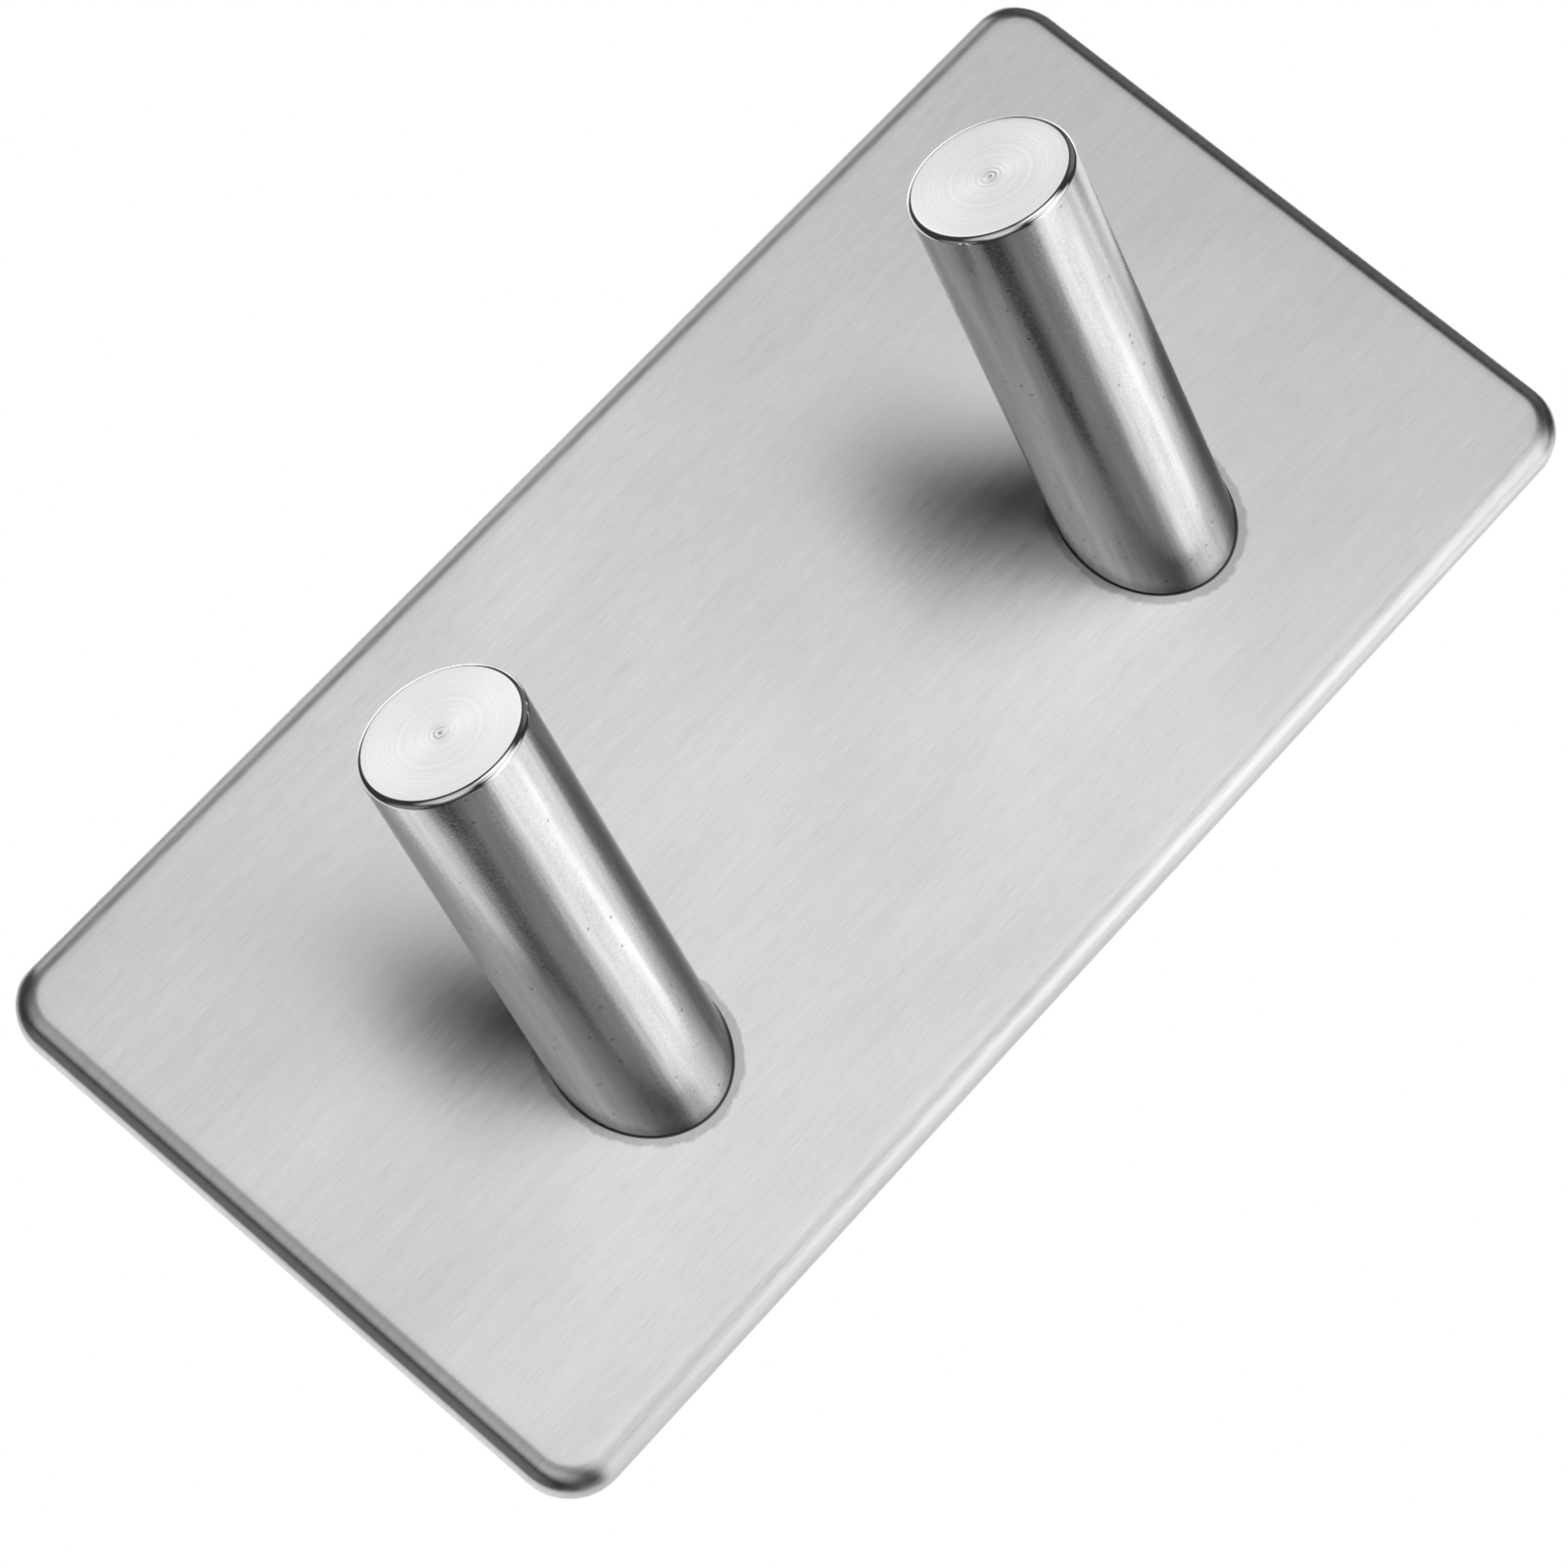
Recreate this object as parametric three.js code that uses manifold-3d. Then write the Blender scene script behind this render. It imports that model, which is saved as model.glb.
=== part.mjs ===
// Wall hook rack: a pressed stainless steel plate with two round pegs that lean up from it.
//
// The plate is a shallow tray, open at the back. Each peg is a solid bar, cut at a slant where it
// seats on the plate, and held by one thin-headed screw from behind. Foam tape fills the tray, and
// a release liner covers the tape until the rack is stuck to a wall.
//
// Millimetres. +X runs to the right along the plate, +Y into the wall and +Z up. The origin is the
// centre of the rearmost face, which is the one that goes against the wall.

import * as THREE from "three";
import { mergeVertices } from "three/addons/utils/BufferGeometryUtils.js";
import Module from "manifold-3d";

// ---------------------------------------------------------------- driving dimensions

// Back plate
const plateLength = 90;
const plateHeight = 45;
const plateCornerRadius = 3.5;
const sheetThickness = 1;
const insideBendRadius = 0.5; // where the edge turns back
const edgeDepth = 2.2; // front face to the rim of the turned edge

// Foam pad and its liner
const padThickness = 1.4; // stands a little proud of the rim, so that it meets the wall first
const padEdgeGap = 0.6; // to the inside of the turned edge
const padHoleGap = 0.6; // round each screw head
const linerThickness = 0.15;

// Pegs
const pegRadius = 5;
const pegLength = 28; // along the axis, from the plate to the end face
const pegLean = THREE.MathUtils.degToRad(30); // upwards, from straight out
const pegSpacing = 45;
const pegSeatDrop = 7; // where the axis meets the plate, below the plate's middle
const pegRimRadius = 0.4;
const pipRadius = 0.6; // the pip that the turning tool leaves in the middle of the end face
const pipHeight = 0.1;

// Screws, M4 with a thin head
const screwRadius = 2;
const screwLength = 7; // under the head
const screwTipChamfer = 0.5;
const screwHeadRadius = 3.5;
const screwHeadHeight = 1;
const screwHeadRound = 0.3;
const recessSpan = 3.8; // tip to tip of the cross recess
const recessSlot = 0.9;
const recessDepth = 0.6;
const screwHoleGap = 0.15; // round the shank, in the plate and in the peg
const tappedHoleSpare = 0.8; // past the tip of the screw

// A half-sheared boss on the plate enters the peg's seat and keeps the peg from turning.
const bossRadius = 1;
const bossHeight = 0.6;
const dimpleWall = 0.15; // the dimple behind the boss is narrower than the boss by this much
const bossGap = 0.15; // round and ahead of the boss, in its socket
const socketWall = 0.9; // of the peg, below the socket

// Facets
const barSides = 64;
const smallSides = 32;
const cornerSteps = 5;
const bendSteps = 5;
const rimSteps = 4;

// ---------------------------------------------------------------- places that follow from them

const trayFloor = -(linerThickness + padThickness); // rear of the sheet, where the pad sticks
const plateFront = trayFloor - sheetThickness;
const plateRim = plateFront + edgeDepth;
const outsideBendRadius = insideBendRadius + sheetThickness;
const cutMargin = 1; // how far a cutting shape reaches past what it cuts

// The seat is an ellipse, this far from its centre to its top and bottom.
const seatReach = pegRadius / Math.cos(pegLean);
// The bar climbs as it leaves the plate, so the hole in it starts above the middle of the seat and
// ends as far below the middle of the bar.
const tappedHoleDepth = screwLength - sheetThickness + tappedHoleSpare;
const screwRaise = (tappedHoleDepth * Math.tan(pegLean)) / 2;
const screwHoleRadius = screwRadius + screwHoleGap;
const socketRadius = bossRadius + bossGap;
const socketDepth = bossHeight + bossGap;
const socketDrop = seatReach - socketDepth * Math.tan(pegLean) - socketWall - socketRadius;
const screwHeight = screwRaise - pegSeatDrop;
const bossCentre = -(socketDrop + pegSeatDrop);

// ---------------------------------------------------------------- solids

const wasm = await Module();
wasm.setup();

// A closed three.js geometry as a solid that can be cut and joined.
function solidFrom(geometry) {
  geometry.deleteAttribute("normal");
  geometry.deleteAttribute("uv");
  const merged = mergeVertices(geometry, 1e-5);
  const mesh = new wasm.Mesh({
    numProp: 3,
    vertProperties: merged.attributes.position.array,
    triVerts: Uint32Array.from(merged.index.array),
  });
  return new wasm.Manifold(mesh);
}

// A solid as a three.js geometry.
function geometryFrom(solid) {
  const mesh = solid.getMesh();
  const geometry = new THREE.BufferGeometry();
  const vertices = Float32Array.from(mesh.vertProperties);
  geometry.setAttribute("position", new THREE.BufferAttribute(vertices, 3));
  geometry.setIndex(new THREE.BufferAttribute(Uint32Array.from(mesh.triVerts), 1));
  geometry.computeVertexNormals();
  return geometry;
}

// The outline of a plate or pad: a rectangle with round corners, centred on the origin.
function roundedRectangle(length, height, radius) {
  const right = length / 2 - radius;
  const top = height / 2 - radius;
  const shape = new THREE.Shape();
  shape.absarc(right, top, radius, 0, Math.PI / 2);
  shape.absarc(-right, top, radius, Math.PI / 2, Math.PI);
  shape.absarc(-right, -top, radius, Math.PI, Math.PI * 1.5);
  shape.absarc(right, -top, radius, Math.PI * 1.5, Math.PI * 2);
  shape.closePath();
  return shape;
}

// A flat sheet of the given outline that fills the space from front to rear along Y.
function sheetOf(shape, front, rear) {
  const options = { depth: rear - front, bevelEnabled: false, curveSegments: smallSides / 2 };
  const sheet = new THREE.ExtrudeGeometry(shape, options);
  return sheet.rotateX(Math.PI / 2).translate(0, rear, 0);
}

// A slab with round corners whose front edge is rounded too. It fills the space from front to rear.
function roundFrontedSlab(length, height, cornerRadius, edgeRadius, front, rear) {
  const shape = roundedRectangle(
    length - 2 * edgeRadius,
    height - 2 * edgeRadius,
    cornerRadius - edgeRadius,
  );
  // The extrusion rounds both of its edges, so it is made too deep and the rear edge is cut away.
  const options = {
    depth: rear - front,
    bevelThickness: edgeRadius,
    bevelSize: edgeRadius,
    bevelSegments: bendSteps,
    curveSegments: cornerSteps,
  };
  const slab = new THREE.ExtrudeGeometry(shape, options);
  slab.rotateX(Math.PI / 2).translate(0, rear + edgeRadius, 0);
  const spare = new THREE.BoxGeometry(length * 2, edgeRadius * 4, height * 2);
  spare.translate(0, rear + edgeRadius * 2, 0);
  return solidFrom(slab).subtract(solidFrom(spare));
}

// A round rod along Y.
function rodAlongY(radius, front, rear, x, z) {
  const rod = new THREE.CylinderGeometry(radius, radius, rear - front, smallSides);
  return solidFrom(rod.translate(x, (front + rear) / 2, z));
}

// The tray, with a hole for each screw and a boss beside it, for pegs at the given places along X.
function backPlate(pegPlaces) {
  const tray = roundFrontedSlab(
    plateLength,
    plateHeight,
    plateCornerRadius,
    outsideBendRadius,
    plateFront,
    plateRim,
  );
  const hollow = roundFrontedSlab(
    plateLength - 2 * sheetThickness,
    plateHeight - 2 * sheetThickness,
    plateCornerRadius - sheetThickness,
    insideBendRadius,
    trayFloor,
    plateRim + cutMargin,
  );
  let plate = tray.subtract(hollow);
  for (const x of pegPlaces) {
    const screwCut = [plateFront - cutMargin, trayFloor + cutMargin];
    const dimpleCut = [trayFloor - bossHeight, trayFloor + cutMargin];
    const boss = rodAlongY(bossRadius, plateFront - bossHeight, trayFloor, x, bossCentre);
    plate = plate
      .add(boss)
      .subtract(rodAlongY(screwHoleRadius, ...screwCut, x, screwHeight))
      .subtract(rodAlongY(bossRadius - dimpleWall, ...dimpleCut, x, bossCentre));
  }
  return geometryFrom(plate);
}

// A peg, about the point where its axis meets the plate's front face. Its seat is at y = 0.
function peg() {
  const buried = pegRadius * Math.tan(pegLean) + cutMargin; // cut off again along the seat
  const profile = new THREE.Path();
  profile.moveTo(0, -buried);
  profile.lineTo(pegRadius, -buried);
  profile.lineTo(pegRadius, pegLength - pegRimRadius);
  profile.absarc(pegRadius - pegRimRadius, pegLength - pegRimRadius, pegRimRadius, 0, Math.PI / 2);
  profile.lineTo(pipRadius, pegLength);
  profile.lineTo(0, pegLength + pipHeight);
  const bar = new THREE.LatheGeometry(profile.getPoints(rimSteps), barSides);
  bar.rotateX(Math.PI - pegLean); // from straight up to out of the wall and leaning upwards

  const wallSide = new THREE.BoxGeometry(pegRadius * 4, pegLength * 2, pegRadius * 8);
  wallSide.translate(0, pegLength, 0);
  const tappedHole = rodAlongY(screwHoleRadius, -tappedHoleDepth, cutMargin, 0, screwRaise);
  const socket = rodAlongY(socketRadius, -socketDepth, cutMargin, 0, -socketDrop);
  return geometryFrom(
    solidFrom(bar).subtract(solidFrom(wallSide)).subtract(tappedHole).subtract(socket),
  );
}

// A screw, about the middle of the face under its head. The head is on the +Y side.
function screw() {
  const profile = new THREE.Path();
  profile.moveTo(0, -screwLength);
  profile.lineTo(screwRadius - screwTipChamfer, -screwLength);
  profile.lineTo(screwRadius, screwTipChamfer - screwLength);
  profile.lineTo(screwRadius, 0);
  profile.lineTo(screwHeadRadius, 0);
  profile.absarc(
    screwHeadRadius - screwHeadRound,
    screwHeadHeight - screwHeadRound,
    screwHeadRound,
    0,
    Math.PI / 2,
  );
  profile.lineTo(0, screwHeadHeight);
  let body = solidFrom(new THREE.LatheGeometry(profile.getPoints(rimSteps), smallSides));
  for (const [length, height] of [[recessSpan, recessSlot], [recessSlot, recessSpan]]) {
    const slot = new THREE.BoxGeometry(length, recessDepth * 2, height);
    body = body.subtract(solidFrom(slot.translate(0, screwHeadHeight, 0)));
  }
  return geometryFrom(body);
}

// The outline of the pad and its liner, a gap inside the turned edge.
function padOutline() {
  const edge = 2 * (sheetThickness + padEdgeGap);
  const radius = plateCornerRadius - sheetThickness - padEdgeGap;
  return roundedRectangle(plateLength - edge, plateHeight - edge, radius);
}

// The foam pad, with a round hole over each screw head.
function foamPad(pegPlaces) {
  const outline = padOutline();
  for (const x of pegPlaces) {
    const hole = new THREE.Path();
    hole.absarc(x, screwHeight, screwHeadRadius + padHoleGap, 0, Math.PI * 2, true);
    outline.holes.push(hole);
  }
  return sheetOf(outline, trayFloor, -linerThickness);
}

// ---------------------------------------------------------------- assembly

const brushedSteel = { color: 0xc9cacc, metalness: 1, roughness: 0.38 };
const satinSteel = { color: 0xc4c5c7, metalness: 1, roughness: 0.3 };
const brightSteel = { color: 0xb9bbbe, metalness: 1, roughness: 0.25 };
const greyFoam = { color: 0x8b8d90, metalness: 0, roughness: 0.95 };
const linerFilm = { color: 0xe9e6dc, metalness: 0, roughness: 0.5 };

const rack = new THREE.Group();

// Adds a named piece with a material of its own, at the given place.
function addPiece(name, geometry, look, x, y, z) {
  const piece = new THREE.Mesh(geometry, new THREE.MeshStandardMaterial(look));
  piece.name = name;
  piece.position.set(x, y, z);
  rack.add(piece);
}

const pegPlaces = { left: -pegSpacing / 2, right: pegSpacing / 2 };
addPiece("back_plate", backPlate(Object.values(pegPlaces)), brushedSteel, 0, 0, 0);
for (const [side, x] of Object.entries(pegPlaces)) {
  addPiece(`peg_${side}`, peg(), satinSteel, x, plateFront, -pegSeatDrop);
  addPiece(`screw_${side}`, screw(), brightSteel, x, trayFloor, screwHeight);
}
addPiece("foam_pad", foamPad(Object.values(pegPlaces)), greyFoam, 0, 0, 0);
addPiece("release_liner", sheetOf(padOutline(), -linerThickness, 0), linerFilm, 0, 0, 0);

export default rack;
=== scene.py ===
import math

import bmesh
import bpy
from mathutils import Matrix, Vector


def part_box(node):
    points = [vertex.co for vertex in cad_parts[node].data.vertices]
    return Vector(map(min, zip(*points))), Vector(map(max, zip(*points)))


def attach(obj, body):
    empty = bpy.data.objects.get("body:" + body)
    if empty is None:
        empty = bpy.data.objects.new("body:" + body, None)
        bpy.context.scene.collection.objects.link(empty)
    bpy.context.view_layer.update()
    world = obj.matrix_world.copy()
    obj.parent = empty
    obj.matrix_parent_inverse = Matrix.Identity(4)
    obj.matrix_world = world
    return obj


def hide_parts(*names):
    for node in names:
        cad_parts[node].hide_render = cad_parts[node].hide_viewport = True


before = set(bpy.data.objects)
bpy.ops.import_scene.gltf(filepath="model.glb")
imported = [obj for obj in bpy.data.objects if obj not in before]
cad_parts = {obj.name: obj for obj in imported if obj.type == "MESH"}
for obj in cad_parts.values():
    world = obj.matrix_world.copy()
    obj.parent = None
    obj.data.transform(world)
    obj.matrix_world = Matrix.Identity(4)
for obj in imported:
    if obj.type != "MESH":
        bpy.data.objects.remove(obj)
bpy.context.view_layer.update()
scene = bpy.context.scene

# ------------------------------------------------------------------ camera and studio
# A product table in a white cove. The camera stands left of the rack and below it, and is rolled
# so that the plate's long side climbs to the right. Softboxes ring the camera with dark gaps
# between them, and the gaps draw the dark edges and bands of the steel.

MM = 0.001
BOSS_HEIGHT = 0.6 * MM  # the bosses that the pegs hide are the plate's foremost points

plate_low, plate_high = (Vector(corner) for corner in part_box("back_plate"))
plate_front = plate_low.y + BOSS_HEIGHT

camera_aim = Vector((-4.83 * MM, plate_front, -2.53 * MM))
camera_distance = 304.44 * MM
camera_swing = math.radians(17.58)  # stands this far round to the left
camera_dip = math.radians(13.31)    # and this far below, looking up
camera_roll = math.radians(-50.48)
camera_turn = (
    Matrix.Rotation(-camera_swing, 3, "Z")
    @ Matrix.Rotation(math.pi / 2 + camera_dip, 3, "X")
    @ Matrix.Rotation(camera_roll, 3, "Z")
)
view_right, view_up, view_back = (camera_turn.col[axis].copy() for axis in range(3))

camera_data = bpy.data.cameras.new("camera")
camera_data.sensor_width = 36
camera_data.lens = 120.5
camera_data.clip_start = 10 * MM
camera = bpy.data.objects.new("camera", camera_data)
camera.matrix_world = Matrix.Translation(camera_aim + view_back * camera_distance) @ camera_turn.to_4x4()
scene.collection.objects.link(camera)
scene.camera = camera


def linear(hex_colour):
    """The linear RGBA of an sRGB hex colour."""
    channels = []
    for start in (1, 3, 5):
        value = int(hex_colour[start:start + 2], 16) / 255
        channels.append(value / 12.92 if value <= 0.04045 else ((value + 0.055) / 1.055) ** 2.4)
    return (*channels, 1.0)


def add_node(tree, kind, inputs=None, **settings):
    """Adds a node. An input's value is a plain value, or an output socket to link from."""
    node = tree.nodes.new(kind)
    for name, value in settings.items():
        setattr(node, name, value)
    for key, value in (inputs or {}).items():
        if isinstance(value, bpy.types.NodeSocket):
            tree.links.new(value, node.inputs[key])
        else:
            node.inputs[key].default_value = value
    return node


GAP_LIGHT = 0.04    # what the dark gaps between the softboxes still give
MATTE_FILL = 0.28   # a ceiling's fill that only matte surfaces are lit by

world = bpy.data.worlds.new("white_cove")
world.use_nodes = True
studio = world.node_tree
studio.nodes.clear()
studio_place = add_node(studio, "ShaderNodeTexCoord")
studio_light = add_node(studio, "ShaderNodeValue").outputs[0]
studio_light.default_value = GAP_LIGHT


def add_softbox(name, right, up, back, inner, outer, radiance):
    """A round soft light, placed as the camera sees it: to its right, up, and back towards it.
    It is even out to the inner angle and fades out by the outer one, both in degrees."""
    global studio_light
    direction = (view_right * right + view_up * up + view_back * back).normalized()
    nearness = add_node(studio, "ShaderNodeVectorMath", {
        0: studio_place.outputs["Generated"], 1: direction,
    }, operation="DOT_PRODUCT")
    glow = add_node(studio, "ShaderNodeMapRange", {
        "Value": nearness.outputs["Value"],
        "From Min": math.cos(math.radians(outer)), "From Max": math.cos(math.radians(inner)),
        "To Min": 0.0, "To Max": radiance,
    }, interpolation_type="SMOOTHSTEP", label=name)
    studio_light = add_node(studio, "ShaderNodeMath", {
        0: studio_light, 1: glow.outputs["Result"],
    }, operation="ADD").outputs[0]


add_softbox("key", 0.08, 0.62, 0.78, 8, 23, 1.50)
add_softbox("right_front", 0.57, 0.19, 0.79, 16, 30, 0.97)
add_softbox("low_right_front", 0.84, -0.36, 0.40, 8, 24, 1.1)
add_softbox("low_right", 0.84, -0.52, -0.12, 10, 26, 1.05)
add_softbox("right_side", 0.93, 0.01, 0.30, 14, 26, 1.05)
add_softbox("right_back", 0.88, -0.15, -0.44, 10, 21, 0.9)
add_softbox("left_front", -0.40, 0.07, 0.91, 17, 36, 0.58)
add_softbox("low_front", -0.16, -0.42, 0.89, 10, 27, 0.4)
add_softbox("below", 0.42, -0.90, 0.06, 8, 21, 0.20)
add_softbox("low_left", -0.76, -0.60, 0.20, 10, 30, 0.2)
add_softbox("top", 0.42, 0.89, -0.12, 10, 30, 0.14)
add_softbox("top_left", -0.49, 0.87, -0.05, 8, 18, 1.2)
add_softbox("top_left_back", -0.36, 0.46, -0.81, 10, 22, 2.4)
add_softbox("top_back", 0.26, 0.52, -0.81, 8, 20, 1.6)
add_softbox("cove", -0.04, -0.36, -0.93, 52, 64, 0.92)

ray = add_node(studio, "ShaderNodeLightPath")
with_fill = add_node(studio, "ShaderNodeMath", {
    0: ray.outputs["Is Diffuse Ray"], 1: MATTE_FILL, 2: studio_light,
}, operation="MULTIPLY_ADD")
room_light = add_node(studio, "ShaderNodeBackground", {"Color": with_fill.outputs[0], "Strength": 1.0})
backdrop = add_node(studio, "ShaderNodeBackground", {"Color": linear("#FFFFFF"), "Strength": 1.0})
room_mix = add_node(studio, "ShaderNodeMixShader", {
    0: ray.outputs["Is Camera Ray"],
    1: room_light.outputs["Background"],
    2: backdrop.outputs["Background"],
})
add_node(studio, "ShaderNodeOutputWorld", {"Surface": room_mix.outputs["Shader"]})
scene.world = world
scene.view_settings.view_transform = "Standard"


def new_material(name):
    """An empty node material, its tree, and its output node."""
    material = bpy.data.materials.new(name)
    material.use_nodes = True
    tree = material.node_tree
    tree.nodes.clear()
    output = add_node(tree, "ShaderNodeOutputMaterial")
    return material, tree, output


SHARP_ANGLE = math.radians(32)  # edges bent more than this are shaded sharp


def object_from(name, code, material):
    """An object from a bmesh, its faces pointing out, shaded smooth but for its sharp edges."""
    bmesh.ops.recalc_face_normals(code, faces=code.faces)
    mesh = bpy.data.meshes.new(name)
    code.to_mesh(mesh)
    code.free()
    mesh.shade_smooth()
    mesh.set_sharp_from_angle(angle=SHARP_ANGLE)
    mesh.materials.append(material)
    piece = bpy.data.objects.new(name, mesh)
    scene.collection.objects.link(piece)
    return piece


def seamless_paper():
    """White seamless paper, matte, with the faint mottle of pressed fibre."""
    material, tree, output = new_material("matte_seamless_paper")
    place = add_node(tree, "ShaderNodeTexCoord")
    fibre = add_node(tree, "ShaderNodeTexNoise", {
        "Vector": place.outputs["Object"], "Scale": 0.9 / MM, "Detail": 4.0,
    })
    tone = add_node(tree, "ShaderNodeMix", {
        0: fibre.outputs["Fac"], 6: linear("#EDEDED"), 7: linear("#F6F6F6"),
    }, data_type="RGBA")
    paper = add_node(tree, "ShaderNodeBsdfPrincipled", {
        "Base Color": tone.outputs[2], "Roughness": 0.9,
    })
    tree.links.new(paper.outputs["BSDF"], output.inputs["Surface"])
    return material


floor_drop = 150 * MM  # below the middle of the rack
floor_reach = 3000 * MM
floor_mesh = bmesh.new()
floor_corners = ((-1, -1), (1, -1), (1, 1), (-1, 1))
floor_mesh.faces.new([
    floor_mesh.verts.new((x * floor_reach, y * floor_reach, -floor_drop)) for x, y in floor_corners
])
floor = object_from("floor", floor_mesh, seamless_paper())
floor.visible_glossy = False  # the steel mirrors the softboxes below the floor, not the floor

# ------------------------------------------------------------------ back plate
# A 1 mm sheet of 304 stainless steel, blanked with round corners and pressed over a block, so
# that its edge turns back in one smooth roll. It is brushed lengthwise with a fine belt. Behind
# each peg it has a hole for the screw and a half-sheared boss that keeps the peg from turning.

SHEET = 1.0 * MM
INSIDE_BEND = 0.5 * MM
OUTSIDE_BEND = INSIDE_BEND + SHEET
CORNER = 3.5 * MM
CUT_EDGE = 0.12 * MM  # the blank's cut edge is deburred to this radius
CORNER_STEPS = 14
BEND_STEPS = 14
CUT_STEPS = 4
TRAY_FLOOR = plate_front + SHEET
FLAT_MARGIN = 0.4 * MM  # a narrow strip of the flat keeps the roll's shading out of it
SCREW_HOLE = 2.15 * MM
RING_NARROW = 0.50 * MM  # the buffed ring round each seat, where it is narrowest
RING_WIDE = 0.75 * MM    # and where it is widest
RING_FADE = 0.16 * MM
JOINT_SHADE_LINE = 0.05 * MM  # the width of a painted dark line of shade in the joint, outside the seat
BOSS_RADIUS = 1.0 * MM
BOSS_DROP = 3.29 * MM   # below the middle of the seat
DIMPLE_RADIUS = 0.85 * MM
ROD_SIDES = 48          # of the tools that cut and join
HAIRLINES = (0.6, 7.0)  # to a millimetre, along the brushing and across it
BUNDLES = (0.09, 1.3)   # of hairlines
CLOUDS = (0.05, 0.08)   # broad patches of lighter and darker steel
PEG_RADIUS = 5.0 * MM
PEG_LEAN = math.radians(30)


# For each peg: its X, the height of the middle of its seat, and the height of its screw.
peg_places = {}
for side_name in ("left", "right"):
    peg_low, peg_high = (Vector(corner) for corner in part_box(f"peg_{side_name}"))
    screw_low, screw_high = (Vector(corner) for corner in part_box(f"screw_{side_name}"))
    peg_places[side_name] = (
        (peg_low.x + peg_high.x) / 2,
        peg_low.z + PEG_RADIUS / math.cos(PEG_LEAN),
        (screw_low.z + screw_high.z) / 2,
    )


def outline(high, corner, inset, y):
    """A rectangle with round corners, drawn in by the inset: points that run round it at the
    given y. Its top right corner, before the inset, is at high."""
    radius = corner - inset
    points = []
    for quarter, (side_x, side_z) in enumerate(((1, 1), (-1, 1), (-1, -1), (1, -1))):
        centre_x = side_x * (high.x - corner)
        centre_z = side_z * (high.z - corner)
        for step in range(CORNER_STEPS + 1):
            angle = (quarter + step / CORNER_STEPS) * math.pi / 2
            points.append((centre_x + radius * math.cos(angle), y, centre_z + radius * math.sin(angle)))
    return points


def plate_section():
    """The sheet's section from the front face over the roll to the tray's floor: for each point
    its inset from the outline, its y, and how far it is along the sheet from the flat's edge."""
    quarter = [step / BEND_STEPS * math.pi / 2 for step in range(BEND_STEPS + 1)]
    cut = [step / CUT_STEPS * math.pi / 2 for step in range(CUT_STEPS + 1)]
    rim = plate_high.y
    roll = OUTSIDE_BEND * math.pi / 2
    wall = rim - plate_front - OUTSIDE_BEND
    section = [(OUTSIDE_BEND + FLAT_MARGIN, plate_front, -FLAT_MARGIN)]
    for a in quarter:
        inset = OUTSIDE_BEND * (1 - math.sin(a))
        section.append((inset, plate_front + OUTSIDE_BEND * (1 - math.cos(a)), OUTSIDE_BEND * a))
    for a in cut:
        drop = CUT_EDGE * (1 - math.sin(a))
        section.append((CUT_EDGE * (1 - math.cos(a)), rim - drop, roll + wall - drop))
    for a in cut:
        inset = SHEET - CUT_EDGE * (1 - math.sin(a))
        section.append((inset, rim - CUT_EDGE * (1 - math.cos(a)), roll + wall + inset))
    for a in quarter:
        inset = SHEET + INSIDE_BEND * (1 - math.cos(a))
        y = TRAY_FLOOR + INSIDE_BEND * (1 - math.sin(a))
        section.append((inset, y, roll + wall + SHEET + INSIDE_BEND * a))
    section.append((OUTSIDE_BEND + FLAT_MARGIN, TRAY_FLOOR, section[-1][2] + FLAT_MARGIN))
    return section


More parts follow.
